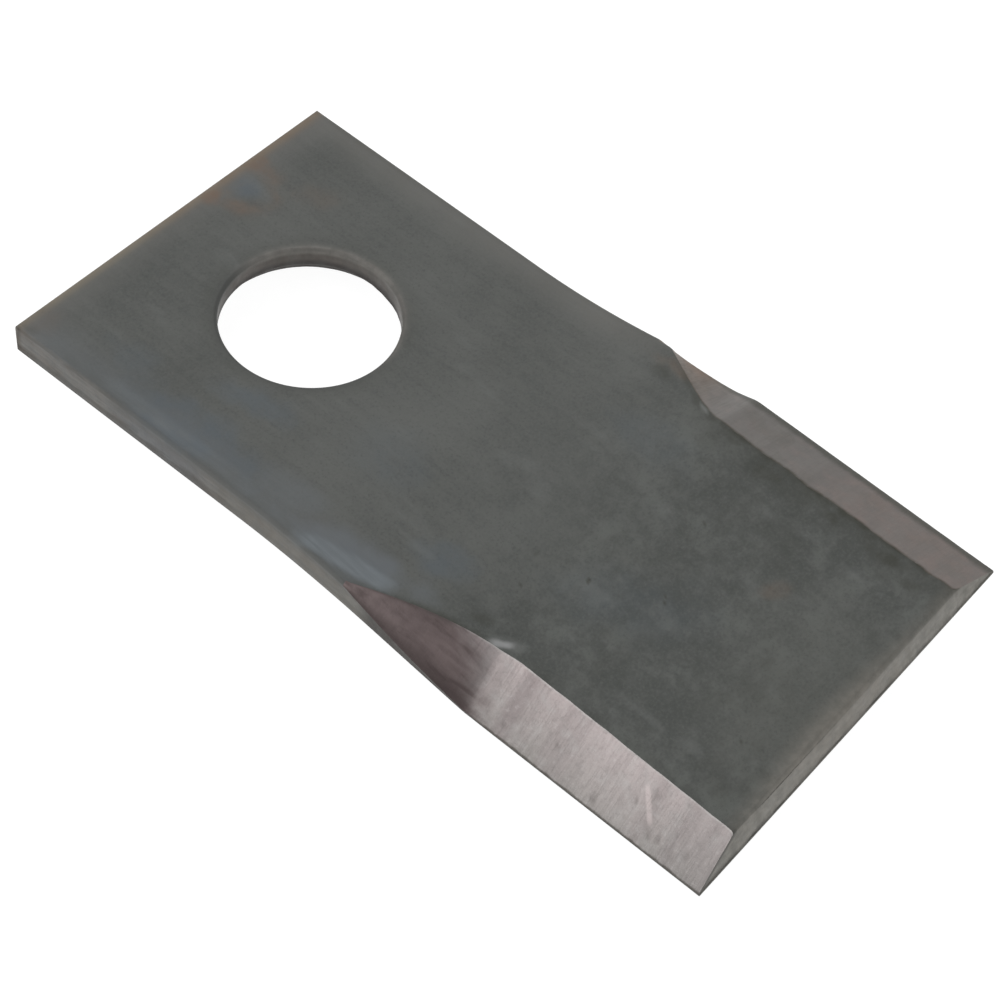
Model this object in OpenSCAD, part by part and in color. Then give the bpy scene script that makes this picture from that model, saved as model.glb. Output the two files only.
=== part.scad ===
// Twisted rotary mower blade, made in one piece from flat spring steel bar:
// sheared to length, punched for its pivot bolt, ground to a cutting edge on
// both long sides of the outer half, and twisted between bore and edges.
// The origin is on the bore axis at mid thickness. X runs along the bar
// towards the cutting end. The blade is turned about X so that it lies on a
// level surface, on the lower edge of its flat end and on the outer corner of
// its leading edge.

/* [Bar] */
// Length of the bar, end to end
bar_length = 100; // [92:1:120]
// Width of the bar
bar_width = 48; // [44:0.5:56]
// Thickness of the bar
bar_thick = 4; // [3.4:0.1:5]
// Radius of the rolled upper long edges
edge_radius = 0.5; // [0.2:0.05:0.8]
// Chamfer along the lower long edges
under_chamfer = 0.3; // [0.15:0.05:0.5]

/* [Pivot bore] */
// Diameter of the bore at its bearing land
bore_d = 20.5; // [16:0.1:22]
// Distance from the back end of the bar to the bore axis
bore_setback = 22; // [18:0.5:26]
// Rolled-in lip at the upper rim, radius
bore_roll = 0.5; // [0.2:0.05:0.8]
// Length of the straight bearing land
bore_land = 1.9; // [1.4:0.1:2.2]
// Diameter of the torn-out lower rim
breakout_d = 22.6; // [22.2:0.1:24]

/* [Twist] */
// Angle between the flat end and the cutting end
twist_angle = 15.4; // [0:0.1:22]
// Where the twist starts, from the bore axis
twist_start = 12.5; // [12.5:0.5:16]
// Where the twist ends, from the bore axis
twist_end = 45.4; // [44:0.1:56]
// Share of the twist length over which the twist grows steeper
twist_rise = 0.97; // [0.5:0.01:0.98]
// How slowly the twist sets in: 1 is at once, higher is slower
twist_ease = 2; // [1.2:0.05:2.5]
// Distance of the twist axis from the middle of the bar, below 0 on the leading side
twist_axis = -2.5; // [-5:0.1:5]
// How far the tip is bent down below the twist axis
tip_droop = 0.73; // [0:0.01:1.5]
// Where the bar starts to bend down, from the bore axis
droop_start = 40; // [36:1:48]

/* [Cutting edges] */
// Width of the leading bevel, at its widest
lead_bevel = 7.1; // [5:0.1:9]
// How much narrower the leading bevel is at the tip
lead_taper = 0.5; // [0:0.1:1.5]
// Where the leading bevel starts to cut in, from the bore axis
lead_start = 28.3; // [24:0.1:34]
// Where the leading bevel reaches its full width
lead_full = 48; // [38:0.5:52]
// How softly the leading bevel runs out: 1 is straight, higher is softer
lead_ease = 1.7; // [1:0.05:2.5]
// Width of the trailing bevel
trail_bevel = 5.8; // [4:0.1:9]
// Where the trailing bevel starts to cut in, from the bore axis
trail_start = 30.8; // [24:0.1:34]
// Where the trailing bevel reaches its full depth
trail_full = 42.2; // [38:0.1:46]
// How far its width lags behind its depth as the wheel lifts out
trail_lag = 2; // [0:0.1:3]
// How softly the trailing bevel runs out: 1 is straight, higher is softer
trail_ease = 1.2; // [1:0.05:2.5]
// Thickness left standing at the cutting edges
edge_land = 0.4; // [0.3:0.05:0.6]

/* [Sheared ends] */
// How far the shear leaned over the thickness, at the back end
back_lean = 0.3; // [0:0.05:0.6]
// How far the shear leaned over the thickness, at the cutting end
tip_lean = 0.45; // [0:0.05:0.8]
// Rolled upper edge of the back end, radius
back_roll = 0.4; // [0.2:0.05:0.7]
// Rolled upper edge of the cutting end, radius
tip_roll = 0.5; // [0.2:0.05:0.9]

/* [Hidden] */
$fn = 96;
steel = [0.34, 0.35, 0.33];
half_w = bar_width / 2;
half_t = bar_thick / 2;
x_back = -bore_setback;
x_tip = bar_length - bore_setback;
over = 3;            // extra bar at both ends, trimmed by the shears
station_step = 1;    // spacing of the sections along the twist
strips = 10;         // strips across the upper and lower faces
corner_steps = 4;    // facets of a rolled edge
tip_chamfer = 0.12;  // what is left of the lower chamfer at the cutting edges

// The twist sets in with the power twist_ease and ends as a parabola. Value
// and slope agree where the two meet.
rise_k = 1 / (pow(twist_rise, twist_ease)
    * (1 + twist_ease * (1 - twist_rise) / (2 * twist_rise)));
fall_k = rise_k * twist_ease * pow(twist_rise, twist_ease - 1) / (2 * (1 - twist_rise));
function twist_share(s) = s <= 0 ? 0 : s >= 1 ? 1
    : s < twist_rise ? rise_k * pow(s, twist_ease) : 1 - fall_k * pow(1 - s, 2);
function twist_at(x) = twist_angle * twist_share((x - twist_start) / (twist_end - twist_start));

// Depth of a bevel along the bar, 0 to 1, as the wheel lifts out on a curve.
function ground(x, from, to, ease) =
    let (s = (x - from) / (to - from)) s <= 0 ? 0 : s >= 1 ? 1 : 1 - pow(1 - s, ease);

// How far the bar has come down at x.
function droop_at(x) = tip_droop * max(0, x - droop_start) / (x_tip - droop_start);

// Upper corner of a section, from the side wall to the upper face, for a side
// of sign sgn: a rolled edge where nothing is ground, a straight bevel where
// the wheel has passed. cut is the share of its depth, wide of its width.
function corner(sgn, cut, wide, bevel) =
    let (
        dz = edge_radius + cut * (bar_thick - edge_land - edge_radius),
        dy = edge_radius + wide * (bevel - edge_radius),
        bulge = max(0, 1 - cut / 0.3)
    ) [for (i = [0 : corner_steps])
        let (
            u = i / corner_steps,
            arc_y = edge_radius * (1 - cos(90 * u)),
            arc_z = edge_radius * (1 - sin(90 * u)),
            y = dy * u + bulge * (arc_y - edge_radius * u),
            z = dz * (1 - u) + bulge * (arc_z - edge_radius * (1 - u))
        ) [sgn * (half_w - y), half_t - z]];

function flipped(list) = [for (i = [len(list) - 1 : -1 : 0]) list[i]];
function lower_chamfer(cut) = under_chamfer + cut * (tip_chamfer - under_chamfer);

// One section across the bar at x: lower face, trailing side, upper face,
// leading side, in one turn.
function section(x) =
    let (
        lead_cut = ground(x, lead_start, lead_full, lead_ease),
        trail_cut = ground(x, trail_start, trail_full, trail_ease),
        trail_wide = ground(x - trail_lag, trail_start, trail_full, trail_ease),
        lead_wide = lead_bevel - lead_taper * max(0, x - lead_full) / (x_tip - lead_full),
        lead_c = lower_chamfer(lead_cut),
        trail_c = lower_chamfer(trail_cut),
        trail_corner = corner(1, trail_cut, trail_wide, trail_bevel),
        lead_corner = flipped(corner(-1, lead_cut, lead_cut, lead_wide)),
        y0 = -half_w + lead_c,
        y1 = half_w - trail_c,
        ya = trail_corner[corner_steps][0],
        yb = lead_corner[0][0]
    ) concat(
        [for (i = [0 : strips]) [y0 + (y1 - y0) * i / strips, -half_t]],
        [[half_w, -half_t + trail_c]],
        trail_corner,
        [for (i = [1 : strips - 1]) [ya + (yb - ya) * i / strips, half_t]],
        lead_corner,
        [[-half_w, -half_t + lead_c]]
    );

// A section set in place: turned about the twist axis by the twist at x, and
// let down by the droop at x.
function placed(x) =
    let (a = twist_at(x), d = droop_at(x))
    [for (p = section(x)) let (y = p[0] - twist_axis, z = p[1])
        [x, y * cos(a) - z * sin(a) + twist_axis, y * sin(a) + z * cos(a) - d]];

shaped_end = max(twist_end, lead_full, trail_full + trail_lag);
shaped_steps = ceil((shaped_end - twist_start) / station_step);
stations = concat(
    [x_back - over],
    [for (i = [0 : shaped_steps]) twist_start + (shaped_end - twist_start) * i / shaped_steps],
    [x_tip + over]
);

// Turn about X at which the lower edge of the flat end and the outer corner of
// the leading edge lie in one level plane.
corner_arm = -half_w + tip_chamfer - twist_axis;
corner_y = corner_arm * cos(twist_angle) + half_t * sin(twist_angle) + twist_axis;
corner_z = corner_arm * sin(twist_angle) - half_t * cos(twist_angle) - tip_droop;
rest_turn = atan2(-half_t - corner_z, half_w - under_chamfer - corner_y);

// The whole bar, skinned from section to section.
module twisted_bar() {
    rings = [for (x = stations) placed(x)];
    n = len(rings[0]);
    last = len(rings) - 1;
    top0 = strips + 2 + corner_steps;  // upper face's first point, on the trailing side
    top1 = top0 + strips;              // and its last, on the leading side
    end_quads = [for (i = [0 : strips - 1]) [i, i + 1, top1 - i - 1, top1 - i]];
    end_sides = [
        [for (i = [strips : top0]) i],
        concat([for (i = [top1 : n - 1]) i], [0])
    ];
    polyhedron(
        points = [for (r = rings) for (p = r) p],
        faces = concat(
            [for (k = [0 : last - 1]) for (i = [0 : n - 1])
                let (j = (i + 1) % n) [k * n + i, (k + 1) * n + i, (k + 1) * n + j]],
            [for (k = [0 : last - 1]) for (i = [0 : n - 1])
                let (j = (i + 1) % n) [k * n + i, (k + 1) * n + j, k * n + j]],
            [for (f = concat(end_quads, end_sides)) f],
            [for (f = concat(end_quads, end_sides)) flipped([for (i = f) last * n + i])]
        ),
        convexity = 6
    );
}

// What the punch and its breakout take away: lip, bearing land, torn cone.
module bore_cut() {
    r = bore_d / 2;
    lip_bottom = half_t - bore_roll;
    land_bottom = lip_bottom - bore_land;
    cone_r = breakout_d / 2;
    slope = (cone_r - r) / (land_bottom + half_t);
    rotate_extrude()
        polygon(concat(
            [[0, -half_t - 1], [cone_r + slope, -half_t - 1], [r, land_bottom]],
            [for (i = [0 : corner_steps])
                let (a = 90 * i / (corner_steps + 0.5))
                [r + bore_roll * (1 - cos(a)), lip_bottom + bore_roll * sin(a)]],
            [[r + bore_roll * 1.6, half_t + 1], [0, half_t + 1]]
        ));
}

// What a shear takes away beyond an end face at x = 0, with the bar on the
// negative side: the face leans by lean over the thickness, and its upper
// edge is rolled by roll. lean is positive where the upper edge stands back.
module shear_cut(lean, roll) {
    face = [for (z = [-half_t - 1, half_t - roll]) [-lean * (z + half_t) / bar_thick, z]];
    foot = face[1][0];
    wide = bar_width * 2;
    translate([0, wide / 2, 0]) rotate([90, 0, 0]) linear_extrude(wide)
        polygon(concat(
            face,
            [for (i = [1 : corner_steps])
                let (a = 90 * i / (corner_steps + 0.5))
                [foot - roll * (1 - cos(a)), half_t - roll + roll * sin(a)]],
            [[foot - roll * 1.6, half_t + 1], [over * 2 + 2, half_t + 1], [over * 2 + 2, -half_t - 1]]
        ));
}

module blade() {
    color(steel)
    rotate([-rest_turn, 0, 0])
    difference() {
        twisted_bar();
        bore_cut();
        translate([x_back + back_lean, 0, 0]) mirror([1, 0, 0]) shear_cut(-back_lean, back_roll);
        translate([x_tip, twist_axis, -tip_droop]) rotate([twist_angle, 0, 0])
            translate([0, -twist_axis, 0]) shear_cut(tip_lean, tip_roll);
    }
}

blade();
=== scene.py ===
import math

import bpy
import numpy as np
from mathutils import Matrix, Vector


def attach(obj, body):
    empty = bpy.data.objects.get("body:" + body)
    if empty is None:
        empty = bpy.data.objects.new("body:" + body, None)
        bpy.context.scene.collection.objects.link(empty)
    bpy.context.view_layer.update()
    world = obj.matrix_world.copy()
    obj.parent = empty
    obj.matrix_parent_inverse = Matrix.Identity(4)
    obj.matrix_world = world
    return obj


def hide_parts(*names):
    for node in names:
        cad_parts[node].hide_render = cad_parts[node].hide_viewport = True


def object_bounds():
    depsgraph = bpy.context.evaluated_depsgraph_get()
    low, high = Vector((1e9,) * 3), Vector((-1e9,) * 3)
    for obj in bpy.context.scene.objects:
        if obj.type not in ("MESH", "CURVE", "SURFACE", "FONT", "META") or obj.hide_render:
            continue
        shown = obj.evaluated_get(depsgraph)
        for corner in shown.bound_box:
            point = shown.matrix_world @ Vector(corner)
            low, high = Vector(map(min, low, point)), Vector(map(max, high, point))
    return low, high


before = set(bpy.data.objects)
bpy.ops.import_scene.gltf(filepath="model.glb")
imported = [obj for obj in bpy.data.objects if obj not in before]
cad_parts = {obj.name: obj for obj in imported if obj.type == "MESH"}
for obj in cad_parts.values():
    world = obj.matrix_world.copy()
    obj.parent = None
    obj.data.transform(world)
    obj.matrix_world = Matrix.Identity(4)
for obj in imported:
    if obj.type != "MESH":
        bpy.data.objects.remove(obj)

cad_low, cad_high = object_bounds()

# ---------------------------------------------------------------------------
# The blade's own measures, in mm, the same as the CAD part's.
# x runs from the bore towards the cutting end, y from the leading to the
# trailing side, z up from mid thickness. The bar is twisted about an axis along
# x and bent down a little towards the tip, and the whole blade is turned about
# x to lie level.
# ---------------------------------------------------------------------------
HW, HT, THICK = 24.0, 2.0, 4.0
X_BACK, X_TIP = -22.0, 78.0
EDGE_R, UNDER_C, TIP_C, EDGE_LAND = 0.5, 0.3, 0.12, 0.4
BORE_R, BORE_ROLL, BORE_LAND, BREAK_R = 10.25, 0.5, 1.9, 11.3
TWIST, TW0, TW1, TW_RISE, TW_EASE = math.radians(15.4), 12.5, 45.4, 0.97, 2.0
TW_AXIS, DROOP, DROOP_X0 = -2.5, 0.73, 40.0
LEAD_W, LEAD_TAPER, LEAD_X0, LEAD_X1, LEAD_EASE = 7.1, 0.5, 28.3, 48.0, 1.7
TRAIL_W, TRAIL_LAG, TRAIL_X0, TRAIL_X1, TRAIL_EASE = 5.8, 2.0, 30.8, 42.2, 1.2
BACK_LEAN, TIP_LEAN, BACK_ROLL, TIP_ROLL = 0.3, 0.45, 0.4, 0.5
arm = -HW + TIP_C - TW_AXIS
REST = math.atan2(
    -HT - (arm * math.sin(TWIST) - HT * math.cos(TWIST) - DROOP),
    HW - UNDER_C - (arm * math.cos(TWIST) + HT * math.sin(TWIST) + TW_AXIS),
)


def twist_at(x):
    k = 1 / (TW_RISE**TW_EASE * (1 + TW_EASE * (1 - TW_RISE) / (2 * TW_RISE)))
    f = k * TW_EASE * TW_RISE ** (TW_EASE - 1) / (2 * (1 - TW_RISE))
    s = np.clip((x - TW0) / (TW1 - TW0), 0, 1)
    return TWIST * np.where(s < TW_RISE, k * s**TW_EASE, 1 - f * (1 - s) ** 2)


def ground(x, x0, x1, ease):
    s = np.clip((x - x0) / (x1 - x0), 0, 1)
    return 1 - (1 - s) ** ease


def lead_wide(x):
    return LEAD_W - LEAD_TAPER * np.maximum(0, x - LEAD_X1) / (X_TIP - LEAD_X1)


def lead_at(x):
    """How far the leading bevel's upper line stands in from the side."""
    return EDGE_R + ground(x, LEAD_X0, LEAD_X1, LEAD_EASE) * (lead_wide(x) - EDGE_R)


def trail_at(x):
    return EDGE_R + ground(x - TRAIL_LAG, TRAIL_X0, TRAIL_X1, TRAIL_EASE) * (TRAIL_W - EDGE_R)


def smooth(a, b, v):
    s = np.clip((v - a) / (b - a), 0, 1)
    return s * s * (3 - 2 * s)


# ---------------------------------------------------------------------------
# Seeded noise, for the shape's own unevenness
# ---------------------------------------------------------------------------
def noise2(x, y, seed):
    """Smooth value noise of unit cell size, -1 to 1."""
    table = np.random.RandomState(seed).uniform(-1, 1, (256, 256))
    xi, yi = np.floor(x).astype(int), np.floor(y).astype(int)
    fx, fy = x - xi, y - yi
    fx, fy = fx * fx * (3 - 2 * fx), fy * fy * (3 - 2 * fy)
    at = lambda i, j: table[(xi + i) % 256, (yi + j) % 256]
    return (at(0, 0) * (1 - fx) + at(1, 0) * fx) * (1 - fy) + (
        at(0, 1) * (1 - fx) + at(1, 1) * fx
    ) * fy


def fractal(x, y, size, seed, octaves=4, gain=0.5):
    total, amp, norm = 0.0, 1.0, 0.0
    for o in range(octaves):
        f = 2**o / size
        total = total + amp * noise2(x * f + 17.3 * o, y * f + 5.1 * o, seed + o)
        norm += amp
        amp *= gain
    return total / norm


# ---------------------------------------------------------------------------
# The skin: rings of points along the bar, joined into strips
# ---------------------------------------------------------------------------
STRIPS = 118  # across the upper and lower faces
WALL, CORNER = 6, 16  # steps up a side wall, and over its upper corner or bevel
SIDE = 2 + WALL + CORNER

steps = np.linspace(0, np.pi / 2, 7)
stations = np.concatenate([
    X_BACK + BACK_ROLL * (1 - np.cos(steps)),
    np.linspace(X_BACK + BACK_ROLL, X_TIP - TIP_ROLL, 248)[1:],
    X_TIP - TIP_ROLL + TIP_ROLL * np.sin(steps)[1:],
])
n_st = len(stations)
lead_cut = ground(stations, LEAD_X0, LEAD_X1, LEAD_EASE)
trail_cut = ground(stations, TRAIL_X0, TRAIL_X1, TRAIL_EASE)


# upper edges of both ends roll over
ceiling = np.full(n_st, HT)
e = np.clip((stations - (X_TIP - TIP_ROLL)) / TIP_ROLL, 0, 1)
ceiling -= TIP_ROLL * (1 - np.sqrt(np.maximum(0, 1 - e * e)))
e = np.clip(((X_BACK + BACK_ROLL) - stations) / BACK_ROLL, 0, 1)
ceiling -= BACK_ROLL * (1 - np.sqrt(np.maximum(0, 1 - e * e)))


def side_profile(cut, inner, roof):
    """Distance in from the side and height, from the lower face up to the upper
    face, for every station: (stations, SIDE + 1)."""
    c = (UNDER_C + cut * (TIP_C - UNDER_C))[:, None]
    dz = (EDGE_R + cut * (THICK - EDGE_LAND - EDGE_R))[:, None]
    dy = inner[:, None]
    bulge = np.maximum(0, 1 - cut / 0.3)[:, None]
    v = np.linspace(0, 1, WALL + 1)[None, :]
    wall_z = (-HT + c) * (1 - v) + (HT - dz) * v
    # finer towards both ends, where the corners are
    u = np.linspace(0, 1, CORNER + 1)
    u = (0.5 - 0.5 * np.cos(np.pi * u)) * 0.6 + u * 0.4
    # a bevel or rolled edge stops where it meets the rolled edge of an end
    arc = np.arcsin(np.clip(1 - (HT - roof) / EDGE_R, 0, 1)) * 2 / np.pi
    stop = np.where(cut > 0.3, (roof - HT + dz[:, 0]) / dz[:, 0], arc)[:, None]
    u = u[None, 1:] * stop
    y = dy * u + bulge * (EDGE_R * (1 - np.cos(np.pi / 2 * u)) - EDGE_R * u)
    z = dz * (1 - u) + bulge * (EDGE_R * (1 - np.sin(np.pi / 2 * u)) - EDGE_R * (1 - u))
    # the line where bevel and upper face meet is broken by a hair
    z[:, -1] += 0.03 * np.clip(cut * 3, 0, 1)
    inset = np.concatenate([c, c * 0.29, 0 * wall_z, y], axis=1)
    height = np.concatenate([-HT + 0 * c, -HT + 0.29 * c, wall_z, HT - z], axis=1)
    return inset, height


# the tip's roll is slight at the leading corner
crisp = np.where(stations > 0, 0.35, 1.0)
far_in, far_z = side_profile(trail_cut, trail_at(stations), ceiling)
near_in, near_z = side_profile(lead_cut, lead_at(stations), HT - crisp * (HT - ceiling))
far_y, near_y = HW - far_in, near_in - HW
t = np.linspace(0, 1, STRIPS + 1)[None, :]

# the trailing bevel's upper line wanders a little
wander = 0.26 * fractal(stations, 0 * stations, 3.4, 71, 4) * smooth(36, 44, stations)
far_y[:, -CORNER:] += wander[:, None] * (np.arange(1, CORNER + 1) / CORNER)[None, :] ** 2
wander = 0.05 * fractal(stations, 0 * stations, 2.0, 77, 3) * smooth(36, 44, stations)
near_y[:, -CORNER:] += wander[:, None] * (np.arange(1, CORNER + 1) / CORNER)[None, :] ** 2

bottom_y = near_y[:, :1] * (1 - t) + far_y[:, :1] * t
bottom_z = np.full_like(bottom_y, -HT)
top_y = far_y[:, -1:] * (1 - t) + near_y[:, -1:] * t
top_z = far_z[:, -1:] * (1 - t) + near_z[:, -1:] * t
flat = smooth(0.0, 0.012, t) * smooth(0.0, 0.012, 1 - t)
top_z = top_z * (1 - flat) + HT * flat

ring_y = np.concatenate([bottom_y, far_y[:, 1:-1], top_y, near_y[:, ::-1][:, 1:-1]], axis=1)
ring_z = np.concatenate([bottom_z, far_z[:, 1:-1], top_z, near_z[:, ::-1][:, 1:-1]], axis=1)
RING = ring_y.shape[1]
FAR0 = STRIPS  # ring place of the trailing side's first point
TOP0 = STRIPS + SIDE  # of the upper face's first point
NEAR0 = TOP0 + STRIPS  # of the leading side's upper point

share = crisp[:, None] + (1 - crisp[:, None]) * smooth(-17.0, -11.0, ring_y)
ring_z = np.minimum(ring_z, HT - share * (HT - ceiling[:, None]))
ring_x = np.repeat(stations[:, None], RING, axis=1)

points = [np.stack([ring_x, ring_y, ring_z], axis=2).reshape(-1, 3)]
count = n_st * RING
faces, face_zone = [], []
ZONES = {"scale": 0, "lead": 1, "trail": 2}


def vid(i, k):
    return i * RING + k % RING


# stations and strips that the bore's patch takes out
i0 = int(np.argmin(abs(stations + 15.2)))
i1 = int(np.argmin(abs(stations - 15.2)))
k0 = int(round(STRIPS * (0.5 - 15.3 / 47)))
k1 = STRIPS - k0

ii, kk = np.meshgrid(np.arange(n_st - 1), np.arange(RING), indexing="ij")
inside_x = (ii >= i0) & (ii < i1)
low_hole = inside_x & (kk >= k0) & (kk < k1)
top_hole = inside_x & (kk >= TOP0 + k0) & (kk < TOP0 + k1)
keep = ~(low_hole | top_hole)
quads = np.stack([vid(ii, kk), vid(ii, kk + 1), vid(ii + 1, kk + 1), vid(ii + 1, kk)], axis=2)[keep]
zone = np.zeros(ii.shape, int)
cut_here = np.maximum(lead_cut[ii], lead_cut[np.minimum(ii + 1, n_st - 1)])
zone[(kk >= NEAR0) & (kk < NEAR0 + CORNER) & (cut_here > 0.02)] = ZONES["lead"]
cut_here = np.maximum(trail_cut[ii], trail_cut[np.minimum(ii + 1, n_st - 1)])
zone[(kk >= TOP0 - CORNER) & (kk < TOP0) & (cut_here > 0.02)] = ZONES["trail"]
faces.append(quads)
face_zone.append(zone[keep])


def loop_of(first):
    """Grid points round the bore's patch, sorted by angle about the bore."""
    ids = [vid(i, first + k) for i in (i0, i1) for k in range(k0, k1 + 1)]
    ids += [vid(i, first + k) for i in range(i0 + 1, i1) for k in (k0, k1)]
    p = points[0][ids]
    a = np.arctan2(p[:, 1] + 1e-6, p[:, 0])
    order = np.argsort(a)
    return np.array(ids)[order], a[order]


top_loop, top_ang = loop_of(TOP0)
low_loop, low_ang = loop_of(0)
n_loop = len(top_loop)
assert len(low_loop) == n_loop


def add(p):
    global count
    points.append(p)
    ids = np.arange(count, count + len(p))
    count += len(p)
    return ids


def band(upper, lower):
    nxt = np.roll(np.arange(n_loop), -1)
    faces.append(np.stack([upper, upper[nxt], lower[nxt], lower], axis=1))
    face_zone.append(np.zeros(n_loop, int))


def circle(r, z, ang):
    return np.stack([r * np.cos(ang), r * np.sin(ang), np.full(len(ang), z)], axis=1)


# the bore's rim is a little out of round where it tore
tear = 0.12 * fractal(np.cos(top_ang) * 6, np.sin(top_ang) * 6, 1.0, 31, 4)
rim_top = circle(BORE_R + BORE_ROLL, HT, top_ang)
outer = points[0][top_loop]
above = top_loop
for s in np.linspace(0, 1, 13)[1:]:
    w = 1 - (1 - s) ** 1.35
    here = add(outer * (1 - w) + rim_top * w)
    band(above, here)
    above = here
profile = [(BORE_R + BORE_ROLL * (1 - math.cos(a)), HT - BORE_ROLL + BORE_ROLL * math.sin(a), 0.0)
           for a in np.linspace(math.pi / 2, 0, 9)[1:]]
land_z = HT - BORE_ROLL - BORE_LAND
profile += [(BORE_R, z, 0.0) for z in np.linspace(HT - BORE_ROLL, land_z, 7)[1:]]
profile += [(BORE_R + (BREAK_R - BORE_R) * s, land_z + (-HT - land_z) * s, math.sin(math.pi * min(1, s * 1.2) / 1.2))
            for s in np.linspace(0, 1, 11)[1:]]
# on one side the tear starts lower down
late = 0.30 * np.exp(-(((top_ang - math.radians(80)) / math.radians(22)) ** 2))
bore_ids = []
for r, z, w in profile:
    p = circle(1.0, z, top_ang)
    s = (r - BORE_R) / (BREAK_R - BORE_R)
    held = np.clip((s - late) / (1 - late), 0, 1) - s if z < land_z else 0.0
    p[:, :2] *= (r + (BREAK_R - BORE_R) * held + tear * w * 0.7)[:, None]
    here = add(p)
    bore_ids.append(here)
    band(above, here)
    above = here
outer = points[0][low_loop]
rim_low = circle(BREAK_R, -HT, top_ang)
for s in np.linspace(1, 0, 9)[1:-1]:
    here = add(outer * (1 - s) + rim_low * s)
    band(above, here)
    above = here
band(above, low_loop)

# end faces
cap_ids = []


def cap(i, flip):
    lower = np.array([vid(i, k) for k in range(STRIPS + 1)])
    right = np.array([vid(i, FAR0 + j) for j in range(SIDE + 1)])
    left = np.array([vid(i, NEAR0 + (SIDE - j)) for j in range(SIDE + 1)])
    upper = np.array([vid(i, TOP0 + STRIPS - k) for k in range(STRIPS + 1)])
    grid = np.zeros((SIDE + 1, STRIPS + 1), int)
    grid[0], grid[-1], grid[:, 0], grid[:, -1] = lower, upper, left, right
    base = points[0]
    u = np.linspace(0, 1, STRIPS + 1)[1:-1, None]
    for j in range(1, SIDE):
        grid[j, 1:-1] = add(base[left[j]] * (1 - u) + base[right[j]] * u)
    q = np.stack([grid[:-1, :-1], grid[:-1, 1:], grid[1:, 1:], grid[1:, :-1]], axis=2).reshape(-1, 4)
    faces.append(q[:, ::-1] if flip else q)
    face_zone.append(np.zeros(len(q), int))
    cap_ids.append(grid.ravel())


cap(0, True)
cap(n_st - 1, False)

P = np.concatenate(points)
F = np.concatenate(faces)
Z = np.concatenate(face_zone)

# where each point sits, for masks: 0 lower face, 1 upper face, 2 trailing side,
# 3 leading side; and its place along and round the rings
place = np.full(len(P), -1)
place[: n_st * RING] = np.tile(np.arange(RING), n_st)
st = np.zeros(len(P), int)
st[: n_st * RING] = np.repeat(np.arange(n_st), RING)
side_of = np.where(
    place < 0, -1,
    np.where(place <= STRIPS, 0, np.where(place < TOP0, 2, np.where(place <= NEAR0, 1, 3))),
)
on_cap = np.zeros(len(P), bool)
for g in cap_ids:
    on_cap[g] = True
on_bore = np.zeros(len(P), bool)
for g in bore_ids:
    on_bore[g] = True

# grid points inside the bore's patch belong to no face, and go
used = np.zeros(len(P), bool)
used[F.ravel()] = True
F = (np.cumsum(used) - 1)[F]
P, place, st, side_of, on_cap, on_bore = (a[used] for a in (P, place, st, side_of, on_cap, on_bore))

# ends lean as they were sheared
x, y, z = P[:, 0].copy(), P[:, 1].copy(), P[:, 2].copy()
lift = (z + HT) / THICK
P[:, 0] += np.where(x > 66, -TIP_LEAN * lift * np.clip((x - 66) / 12, 0, 1) ** 2, 0)
P[:, 0] += np.where(x < -19, BACK_LEAN * (1 - lift) * np.clip((-19 - x) / 3, 0, 1) ** 2, 0)
local = P.copy()
x, y, z = local.T

# ---------------------------------------------------------------------------
# Masks that the materials read, one value per point
# ---------------------------------------------------------------------------
r_bore = np.hypot(x, y)
upper = (z > HT - 0.05) & ~on_cap


def blob(cx, cy, rx, ry, turn=0.0, ragged=0.35, seed=1):
    """A soft patch on the faces, 0 to 1, with a ragged rim."""
    c, s = math.cos(math.radians(turn)), math.sin(math.radians(turn))
    u, v = (x - cx) * c + (y - cy) * s, -(x - cx) * s + (y - cy) * c
    d = np.hypot(u / rx, v / ry) + ragged * fractal(x, y, max(1.5, min(rx, ry) * 0.8), seed, 4)
    return 1 - smooth(0.35, 1.15, d)


def streak(cx, cy, half, wide, turn, seed):
    """A straight soft streak on the faces, 0 to 1."""
    c, s = math.cos(math.radians(turn)), math.sin(math.radians(turn))
    u, v = (x - cx) * c + (y - cy) * s, -(x - cx) * s + (y - cy) * c
    v = abs(v) / wide + 0.30 * fractal(x * 0.6, y, 1.6, seed, 3)
    return (1 - smooth(0.55, 1.25, v)) * (1 - smooth(0.62, 1.0, abs(u) / half + 0.15 * fractal(x, y, 2.0, seed + 3, 3)))


# side walls, with the rolled corners as the passage to the upper face
side_in = np.minimum(HW - y, HW + y)
wall = np.zeros(len(P))
on_side = (side_of == 2) | (side_of == 3)
wall[on_side] = 1 - smooth(0.0, 0.45, side_in[on_side])
wall *= 1 - 0.85 * smooth(-9, 0, x) * smooth(0.5, 1.75, z)
wall = np.maximum(wall, np.where((side_of == 1), (1 - smooth(0.05, 0.65, side_in)) * (1 - smooth(-9, 0, x)), 0))
ends = np.zeros(len(P))
ends[on_cap] = 1
tip_d, back_d = X_TIP - 0.4 - x, x - X_BACK
middle = np.exp(-(((y + 3) / 11) ** 2))
worn = (1 - smooth(-0.3, 2.2 + 0.9 * middle, tip_d)) ** (1.5 - 0.65 * middle)
ends = np.maximum(ends, np.where(z > 0.8, (0.82 + 0.18 * middle) * worn, 0))
ends = np.maximum(ends, np.where(z > 0.8, 0.8 * (1 - smooth(0.0, 0.5, back_d)), 0))
bore = np.where(on_bore, 1.0, 0.0)
bore = np.maximum(bore, np.where(r_bore < 14, 0.8 * (1 - smooth(BORE_R + 0.2, BORE_R + 1.2, r_bore)), 0))
under = np.where((z < -HT + 0.05), 1.0, 0.0)

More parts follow.
